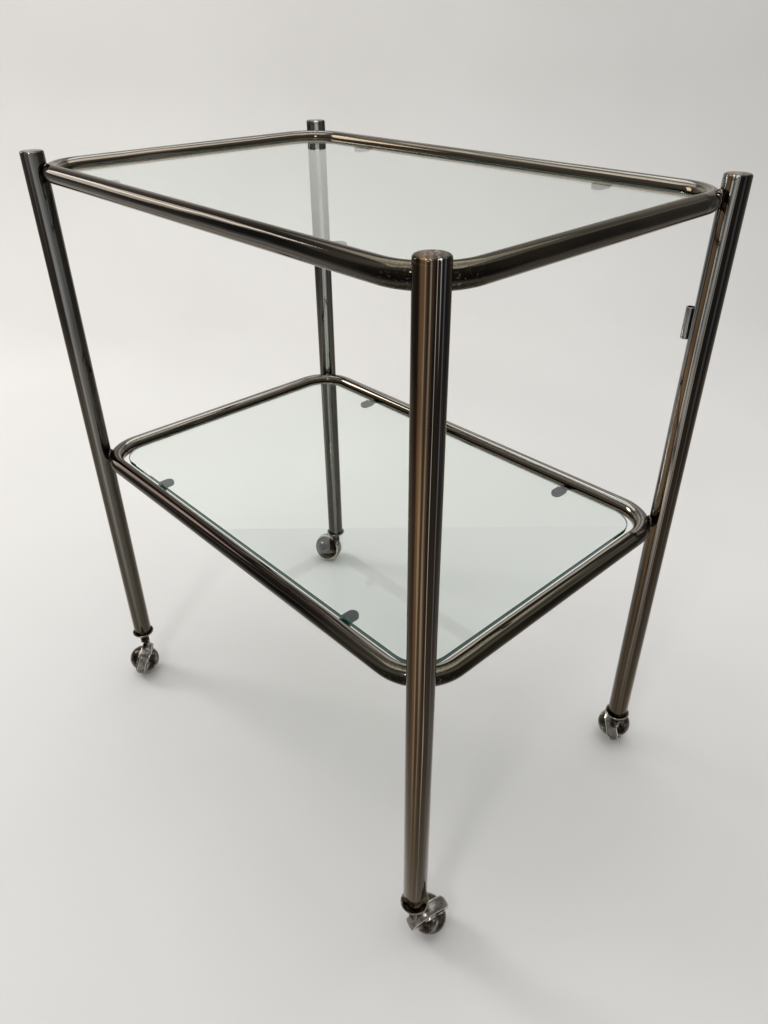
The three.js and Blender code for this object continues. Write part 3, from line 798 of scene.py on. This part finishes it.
def make_ring(level):
    """The tube. Its own coordinates are its cross-section and the distance along it."""
    low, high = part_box(f"{level}_ring")
    path = ring_path(low, high, 20)
    posts = [middle(f"post_{corner}").xy for corner in CORNERS]
    bm = bmesh.new()
    own = bm.verts.layers.float_vector.new("own")
    near = bm.verts.layers.float.new("near_weld")
    sides = 40
    rows = []
    run = 0.0
    for i, (point, out) in enumerate(path):
        if i:
            run += (point - path[i - 1][0]).length
        row = []
        for k in range(sides):
            angle = 2 * math.pi * k / sides
            offset = out * (RING_RADIUS * math.cos(angle))
            offset.z = RING_RADIUS * math.sin(angle)
            vert = bm.verts.new(point + offset)
            vert[own] = (RING_RADIUS * math.cos(angle), RING_RADIUS * math.sin(angle), run)
            reach = min((point.xy - post).length for post in posts)
            vert[near] = max(0.0, min(1.0, (0.05 - reach) / 0.028))
            row.append(vert)
        rows.append(row)
    for i, row in enumerate(rows):
        after = rows[(i + 1) % len(rows)]
        for k in range(sides):
            j = (k + 1) % sides
            bm.faces.new((row[k], row[j], after[j], after[k]))
    piece(f"{level}_ring_tube", bm, [ring_chrome_painted_light], "frame", [f"{level}_ring"])


def make_welds(level):
    """The bead where each post touches the ring's bend."""
    low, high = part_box(f"{level}_ring")
    centre = (low + high) / 2
    for corner in CORNERS:
        post = middle(f"post_{corner}")
        hub = Vector((
            centre.x + math.copysign((high.x - low.x) / 2 - RING_RADIUS - RING_BEND, post.x),
            centre.y + math.copysign((high.y - low.y) / 2 - RING_RADIUS - RING_BEND, post.y), 0,
        ))
        inward = (hub - Vector((post.x, post.y, 0))).normalized()
        touch = Vector((post.x, post.y, centre.z)) + inward * 12.6 * MM
        place = basis(touch, (0, 0, 1), inward)
        bm = bmesh.new()
        major, minor = 5.2 * MM, 1.9 * MM
        around, section = 40, 12
        grid = []
        for i in range(around):
            a = 2 * math.pi * i / around
            row = []
            for k in range(section):
                b = 2 * math.pi * k / section
                lump = 1 + 0.22 * noise.noise(Vector((math.cos(a) * 3, math.sin(a) * 3, post.x * 40)))
                r = minor * lump
                local = Vector((
                    (major + r * math.cos(b)) * math.cos(a),
                    (major + r * math.cos(b)) * math.sin(a),
                    r * math.sin(b) * 0.8,
                ))
                row.append(bm.verts.new(place @ local))
            grid.append(row)
        for i in range(around):
            after = grid[(i + 1) % around]
            for k in range(section):
                j = (k + 1) % section
                bm.faces.new((grid[i][k], grid[i][j], after[j], after[k]))
        piece(f"{level}_weld_{corner}", bm, [weld], "frame")


def make_pane(level):
    """A pane with round corners and a small bevel round both faces."""
    low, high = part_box(f"{level}_glass")
    centre = (low + high) / 2
    half_x, half_y = (high.x - low.x) / 2, (high.y - low.y) / 2
    arris = 0.7 * MM
    bm = bmesh.new()
    loops = []
    for inset, z in ((arris, low.z), (0, low.z + arris), (0, high.z - arris), (arris, high.z)):
        loop = []
        for sx, sy, start in ((1, 1, 0), (-1, 1, 90), (-1, -1, 180), (1, -1, 270)):
            for k in range(17):
                angle = math.radians(start + 90 * k / 16)
                radius = GLASS_CORNER - inset
                loop.append(bm.verts.new((
                    centre.x + sx * (half_x - GLASS_CORNER) + radius * math.cos(angle),
                    centre.y + sy * (half_y - GLASS_CORNER) + radius * math.sin(angle), z,
                )))
        loops.append(loop)
    bm.faces.new(loops[0][::-1])
    bm.faces.new(loops[-1])
    count = len(loops[0])
    for lower, upper in zip(loops, loops[1:]):
        for k in range(count):
            j = (k + 1) % count
            face = bm.faces.new((lower[k], lower[j], upper[j], upper[k]))
            face.material_index = 1
    piece(f"{level}_pane", bm, [pane_finish, edge_finish], f"{level}_pane",
          [f"{level}_glass"], 30)


def make_sleeves(level):
    """Rubber sleeves with a round tip, over the steel tongues that carry the pane."""
    for corner in CORNERS:
        low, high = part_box(f"{level}_tab_sleeve_{corner}")
        centre = (low + high) / 2
        half = (high.x - low.x) / 2
        toward = -1 if centre.y > 0 else 1
        length = high.y - low.y
        root = low.y if toward > 0 else high.y
        outline = [(-half, 0), (half, 0)]
        steps = 16
        for k in range(steps + 1):
            angle = math.pi * k / steps
            outline.append((half * math.cos(angle), length - half + half * math.sin(angle)))
        bm = bmesh.new()
        verts = [bm.verts.new((centre.x + x, root + toward * y, low.z)) for x, y in outline]
        base = bm.faces.new(verts)
        lifted = bmesh.ops.extrude_face_region(bm, geom=[base])["geom"]
        top = [v for v in lifted if isinstance(v, bmesh.types.BMVert)]
        bmesh.ops.translate(bm, verts=top, vec=(0, 0, high.z - low.z))
        bmesh.ops.recalc_face_normals(bm, faces=bm.faces)
        edges = [e for e in bm.edges if abs(e.verts[0].co.z - e.verts[1].co.z) < 1e-6]
        bmesh.ops.bevel(bm, geom=edges, offset=1.9 * MM, segments=5, profile=0.5,
                        affect="EDGES", clamp_overlap=True)
        piece(f"{level}_rubber_{corner}", bm, [rubber], "frame",
              [f"{level}_tab_sleeve_{corner}"], 50)
        tab = frame["nodes"][f"{level}_tab_{corner}"]
        tab.data.materials.clear()
        tab.data.materials.append(hidden_steel)


def make_stub():
    """The short rod with dished ends on the right post."""
    low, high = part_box("post_stub")
    centre = (low + high) / 2
    radius = (high.y - low.y) / 2
    bore = 3 * MM
    dish = 2 * MM
    rod = soften([
        (0, low.z + dish), (bore, low.z + dish), (bore, low.z, 0.3 * MM),
        (radius, low.z, 0.5 * MM), (radius, high.z, 0.6 * MM), (bore, high.z, 0.3 * MM),
        (bore, high.z - dish), (0, high.z - dish),
    ], 4)
    # the stub takes the left post's chrome with its painted reflections
    piece("stub_rod", revolve(rod, upright(centre.x, centre.y), 40),
          [POST_PAINTED_REFLECTIONS["left"]], "frame", ["post_stub"])


for corner in CORNERS:
    make_post(corner)
    make_caster(corner)
for level in ("upper", "lower"):
    make_ring(level)
    make_welds(level)
    make_pane(level)
    make_sleeves(level)
make_stub()

# ---- Floor, backdrop and lights ----


def stage_finish():
    """Pale matt paper."""
    f = Finish("studio_floor", False)
    cloud = f.noise((1.5, 1.5, 1.5), 3, 0.5)
    color = f.mix(f.span(cloud, 0.0, 1.0, 0.3, 0.7), (0.72, 0.70, 0.67), (0.76, 0.74, 0.71))
    f.set(Base_Color=color, Roughness=0.75)
    return f.material


def make_stage():
    """A floor that curves up into a wall behind the cart."""
    away = Vector((-math.sin(heading), math.cos(heading), 0))
    across = Vector((math.cos(heading), math.sin(heading), 0))
    profile = [(-3.5, 0), (1.6, 0)]
    for k in range(1, 13):
        angle = math.radians(90 * k / 12)
        profile.append((1.6 + 0.7 * math.sin(angle), 0.7 - 0.7 * math.cos(angle)))
    profile.append((2.3, 2.0))
    bm = bmesh.new()
    rows = []
    for distance, height in profile:
        rows.append([
            bm.verts.new(away * distance + across * side + Vector((0, 0, height - 0.3 * MM)))
            for side in (-4, 4)
        ])
    for a, b in zip(rows, rows[1:]):
        bm.faces.new((a[0], a[1], b[1], b[0]))
    mesh = bpy.data.meshes.new("backdrop")
    bm.to_mesh(mesh)
    bm.free()
    for polygon in mesh.polygons:
        polygon.use_smooth = True
    mesh.materials.append(stage_finish())
    obj = bpy.data.objects.new("backdrop", mesh)
    bpy.context.scene.collection.objects.link(obj)


def area_light(name, location, target, size, power, color=(1, 1, 1)):
    """A rectangular light that faces its target."""
    data = bpy.data.lights.new(name, "AREA")
    data.shape = "RECTANGLE"
    data.size, data.size_y = size
    data.energy = power
    data.color = color
    obj = bpy.data.objects.new(name, data)
    bpy.context.scene.collection.objects.link(obj)
    obj.location = location
    obj.rotation_mode = "QUATERNION"
    obj.rotation_quaternion = (Vector(target) - Vector(location)).to_track_quat("-Z", "Y")


make_stage()
aim = Vector((0, 0, 0.4))
area_light("overhead", (-0.3, 0.4, 2.9), aim, (3.4, 3.0), 46)
area_light("window", (-2.4, -1.0, 1.7), aim, (0.8, 1.3), 26, (1.0, 0.98, 0.95))
area_light("lamp", (0.9, -1.9, 2.3), aim, (0.35, 0.35), 9)

world = bpy.data.worlds.new("studio")
bpy.context.scene.world = world
world.use_nodes = True
background = world.node_tree.nodes["Background"]
background.inputs["Color"].default_value = (0.82, 0.84, 0.86, 1)
background.inputs["Strength"].default_value = 0.55
bpy.context.scene.view_settings.view_transform = "Standard"
